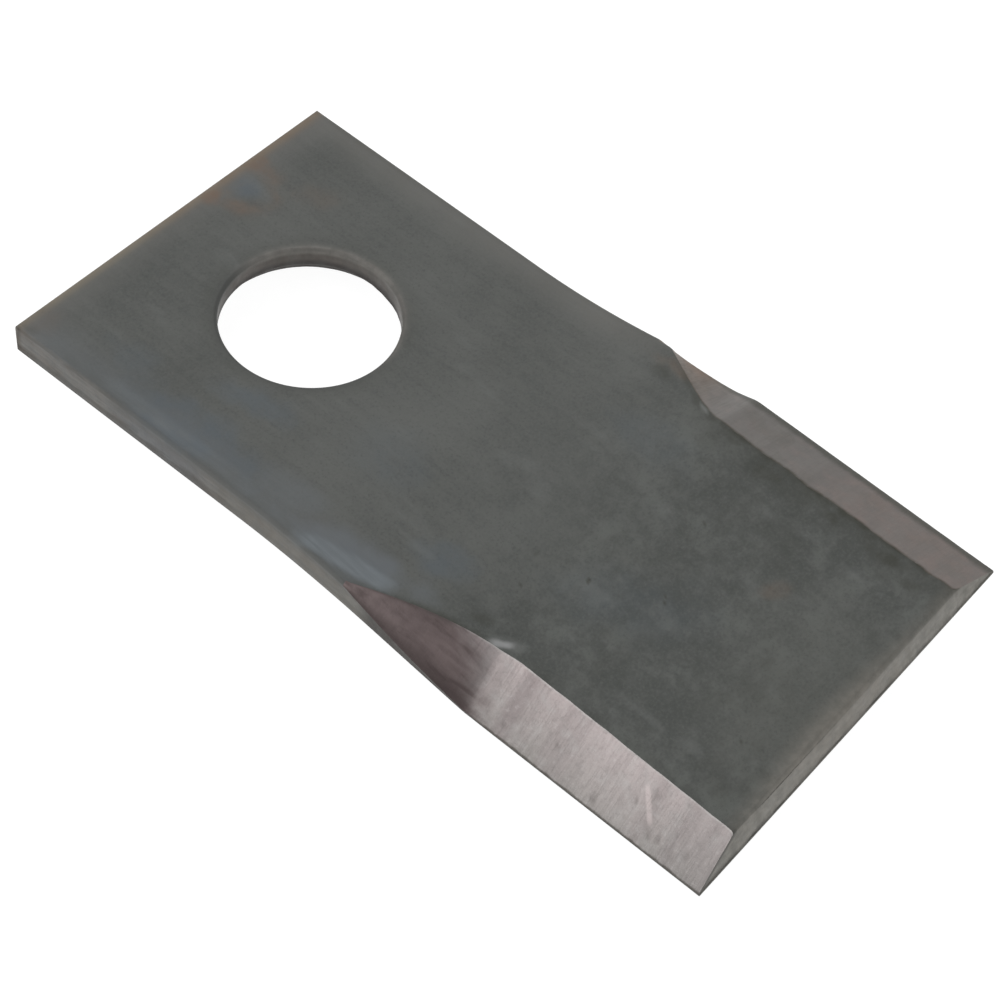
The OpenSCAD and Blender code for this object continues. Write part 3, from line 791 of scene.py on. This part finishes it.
def bevel_material(name, lead):
    """A ground face: bare steel with cross bands, dark where it runs out, partly as painted shade; painted shade on the
    cutting edge and, on the leading face, a painted highlight along the upper line.
    """
    m = Nodes(name)
    loc = m.attr("loc")
    x, y, z = m.split(loc)
    lead_u, trail_u, nick = m.split(m.attr("mk_bevel"))
    u = lead_u if lead else trail_u
    bands = m.noise(m.stretch(loc, 0.34, 0.03, 0.03), 1.0, 2, 0.5, 0.3)
    lines = m.noise(m.stretch(loc, 4.5, 0.30, 0.30), 1.0, 4, 0.6)
    cloud = m.noise(loc, 0.55, 4, 0.6)
    fleck = m.noise(loc, 1.6, 5, 0.68)
    grain = m.noise(loc, 4.0, 3, 0.6)
    if lead:
        # brighter and pinker towards the upper line
        steel = m.mix(u, (0.217, 0.207, 0.194), (0.390, 0.339, 0.333))
        steel = m.mix(m.span(bands, 0.58, 0.38, 0.0, 0.40), steel, (0.226, 0.198, 0.194))
        steel = m.mix(m.span(cloud, 0.44, 0.70, 0.0, 0.36), steel, (0.335, 0.324, 0.314))
        band = m.math("MULTIPLY", m.span(x, 47.6, 49.3), m.span(x, 51.2, 49.6))
        steel = m.mix(m.math("MULTIPLY", band, 0.45), steel, (0.190, 0.160, 0.158))
        bright = m.math("MULTIPLY", m.span(x, 55.0, 61.0), m.span(x, 71.0, 66.0))
        steel = m.mix(m.math("MULTIPLY", bright, 0.12), steel, (0.46, 0.415, 0.407))
        steel = m.mix(m.span(x, 68.0, 76.0, 0.0, 0.38), steel, (0.228, 0.214, 0.208))
        # a long scratch across the face
        across = m.math("ADD", m.math("MULTIPLY", m.math("SUBTRACT", x, 68.05), 0.738),
                        m.math("MULTIPLY", m.math("ADD", y, 20.2), 0.675))
        reach = m.math("SUBTRACT", m.math("MULTIPLY", m.math("SUBTRACT", x, 68.05), 0.675),
                       m.math("MULTIPLY", m.math("ADD", y, 20.2), 0.738))
        score = m.math("MULTIPLY", m.span(m.math("ABSOLUTE", across), 0.42, 0.12), m.span(m.math("ABSOLUTE", reach), 2.2, 1.5))
        steel = m.mix(m.math("MULTIPLY", score, 0.55), steel, (0.50, 0.435, 0.425))
        # a painted highlight along the leading bevel's upper line
        top = m.span(u, 0.93, 0.995)
        steel = m.mix(m.math("MULTIPLY", top, m.span(cloud, 0.3, 0.6, 0.5, 0.9)), steel, (0.50, 0.478, 0.462))
    else:
        steel = m.mix(m.span(bands, 0.36, 0.64), (0.160, 0.151, 0.141), (0.177, 0.167, 0.156))
        steel = m.mix(m.span(cloud, 0.45, 0.75, 0.0, 0.55), steel, (0.208, 0.174, 0.160))
        steel = m.mix(m.span(m.noise(loc, 0.30, 4, 0.6), 0.52, 0.36, 0.0, 0.50), steel, (0.136, 0.131, 0.117))
        steel = m.mix(m.math("MULTIPLY", m.span(x, 55.0, 63.0, 0.0, 0.50), m.span(cloud, 0.36, 0.60, 0.5, 1.0)), steel, (0.216, 0.170, 0.152))
        top = m.span(u, 0.88, 0.995)
        steel = m.mix(m.math("MULTIPLY", top, m.span(cloud, 0.3, 0.6, 0.35, 0.9)), steel, (0.058, 0.052, 0.038))
    steel = m.mix(m.span(lines, 0.52, 0.30, 0.0, 0.06), steel, (0.10, 0.09, 0.085))
    steel = m.mix(m.span(grain, 0.44, 0.28, 0.0, 0.16), steel, (0.12, 0.105, 0.10))
    steel = m.mix(m.span(fleck, 0.50, 0.34, 0.0, 0.20), steel, (0.13, 0.12, 0.115))
    steel = m.mix(m.span(fleck, 0.54, 0.70, 0.0, 0.22), steel, (0.44, 0.42, 0.41) if lead else (0.235, 0.215, 0.200))
    if lead:
        steel = m.mix(m.math("MULTIPLY", nick, 0.9), steel, (0.085, 0.075, 0.070))
    # the cutting edge itself, darkened as painted shade
    edge = m.math("ADD", u, m.math("MULTIPLY", m.math("SUBTRACT", cloud, 0.5), 0.12))
    dark = (0.080, 0.020) if lead else (0.270, 0.120)
    steel = m.mix(m.span(edge, *dark, 0.0, 0.80), steel, (0.052, 0.048, 0.040) if lead else (0.074, 0.075, 0.063))
    # run-out: darker and tinted, the darkness partly painted shade where the ground face curves away
    shift = m.math("MULTIPLY", m.math("SUBTRACT", cloud, 0.5), 2.4)
    along = m.math("ADD", x, shift)
    mott = m.span(m.noise(loc, 0.9, 5, 0.6), 0.32, 0.68)
    if lead:
        drawn = m.noise(m.stretch(loc, 0.16, 0.80, 0.80), 1.0, 3, 0.55, 0.4)
        along = m.math("ADD", along, m.math("MULTIPLY", m.math("SUBTRACT", u, 0.5), 6.4))
        along = m.math("ADD", along, m.math("MULTIPLY", m.math("SUBTRACT", drawn, 0.5), 5.0))
        runout_shade_and_tint = m.mix(mott, (0.184, 0.147, 0.143), (0.236, 0.190, 0.185))
        runout_shade_and_tint = m.mix(m.span(along, 31.0, 39.0, 0.0, 0.62), runout_shade_and_tint, (0.134, 0.105, 0.103))
        runout_shade_and_tint = m.mix(m.span(drawn, 0.50, 0.34, 0.0, 0.42), runout_shade_and_tint, (0.072, 0.054, 0.052))
        runout_shade_and_tint = m.mix(m.span(drawn, 0.52, 0.68, 0.0, 0.40), runout_shade_and_tint, (0.225, 0.180, 0.175))
        runout_shade_and_tint = m.mix(m.span(u, 0.50, 0.06, 0.0, 0.64), runout_shade_and_tint, (0.052, 0.039, 0.037))
        runout_upper_dark = m.math("MULTIPLY", m.span(u, 0.80, 0.98, 0.0, 0.55), m.span(mott, 0.1, 0.8, 0.5, 1.0))
        runout_shade_and_tint = m.mix(m.math("MULTIPLY", runout_upper_dark, m.span(x, 43.0, 38.0)), runout_shade_and_tint, (0.076, 0.066, 0.063))
        steel = m.mix(m.span(along, 47.2, 41.0), steel, runout_shade_and_tint)
        rough = m.math("ADD", m.span(lines, 0.3, 0.7, 0.36, 0.48), m.span(along, 46.4, 41.4, 0.0, 0.10))
    else:
        runout_shade_and_tint = m.mix(mott, (0.105, 0.086, 0.069), (0.162, 0.132, 0.108))
        rusty = m.math("MULTIPLY", m.span(u, 0.75, 0.15), m.span(x, 41.0, 37.0))
        runout_shade_and_tint = m.mix(m.math("MULTIPLY", rusty, 0.65), runout_shade_and_tint, (0.150, 0.088, 0.050))
        steel = m.mix(m.span(along, 43.5, 37.0, 0.0, 0.9), steel, runout_shade_and_tint)
        rough = m.span(lines, 0.3, 0.7, 0.44, 0.56)
    height = m.math("ADD", m.math("MULTIPLY", lines, 1.0), m.math("MULTIPLY", grain, 0.35))
    normal = m.bump(height, 0.00004, 0.5)
    return m.done(color=steel, metal=0.85 if lead else 0.55, rough=rough, normal=normal)


for made in (scale_material(), bevel_material("ground_lead", True), bevel_material("ground_trail", False)):
    mesh.materials.append(made)

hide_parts("blade")
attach(blade, "root")

# ---------------------------------------------------------------------------
# Floor, light and camera
# ---------------------------------------------------------------------------
floor_z = float(world_pts[:, 2].min())
fm = bpy.data.meshes.new("studio_floor")
ring = [(3.0 * math.cos(a), 3.0 * math.sin(a), floor_z) for a in np.linspace(0, 2 * math.pi, 97)[:-1]]
fm.from_pydata(ring, [], [list(range(96))])
floor = bpy.data.objects.new("studio_floor", fm)
bpy.context.scene.collection.objects.link(floor)
paper = Nodes("studio_paper")
fibre = paper.noise(paper.stretch(paper.new("ShaderNodeTexCoord").outputs["Object"], 1, 1, 1), 900.0, 3, 0.6)
# a light table: part of its brightness comes through it
paper.bsdf.inputs["Emission Color"].default_value = (1.0, 1.0, 1.0, 1.0)
paper.bsdf.inputs["Emission Strength"].default_value = 0.93
fm.materials.append(paper.done(
    color=paper.mix(paper.span(fibre, 0.3, 0.7), (0.19, 0.19, 0.19), (0.215, 0.215, 0.215)), rough=0.95, spec=0.0))

world = bpy.data.worlds.new("studio")
bpy.context.scene.world = world
world.use_nodes = True
wt = world.node_tree
back = next(n for n in wt.nodes if n.type == "BACKGROUND")
coord = wt.nodes.new("ShaderNodeTexCoord")
sep = wt.nodes.new("ShaderNodeSeparateXYZ")
wt.links.new(coord.outputs["Generated"], sep.inputs[0])
ramp = wt.nodes.new("ShaderNodeValToRGB")
wt.links.new(sep.outputs[2], ramp.inputs[0])
ramp.color_ramp.elements[0].position = 0.10
ramp.color_ramp.elements[0].color = (1.0, 1.0, 1.0, 1)
ramp.color_ramp.elements[1].position = 0.45
ramp.color_ramp.elements[1].color = (0.50, 0.50, 0.51, 1)
wt.links.new(ramp.outputs[0], back.inputs[0])
back.inputs[1].default_value = 1.0


def area(name, where, size, power, target=(0.03, 0.0, 0.0)):
    data = bpy.data.lights.new(name, "AREA")
    data.shape = "DISK"
    data.size = size
    data.energy = power
    ob = bpy.data.objects.new(name, data)
    bpy.context.scene.collection.objects.link(ob)
    ob.location = where
    ob.rotation_euler = (Vector(where) - Vector(target)).to_track_quat("Z", "Y").to_euler()
    return ob


area("key_left", (-0.78, -1.10, 1.05), 1.6, 8.5)
area("overhead", (-0.90, 0.80, 1.60), 1.8, 8.0)
area("fill_right", (1.35, 0.70, 1.20), 1.4, 4.0)

cam_data = bpy.data.cameras.new("photo_camera")
cam_data.sensor_fit = "HORIZONTAL"
cam_data.sensor_width = 36.0
cam_data.lens = 161.505
cam_data.clip_start = 0.01
cam_data.clip_end = 50.0
cam = bpy.data.objects.new("photo_camera", cam_data)
bpy.context.scene.collection.objects.link(cam)
cam.location = (0.227268, -0.194971, 0.400422)
cam.rotation_euler = (0.599241, 0.036725, 0.741485)
bpy.context.scene.camera = cam

view = bpy.context.scene.view_settings
view.view_transform = "Standard"
view.look = "None"
view.exposure = 0.0
view.gamma = 1.0
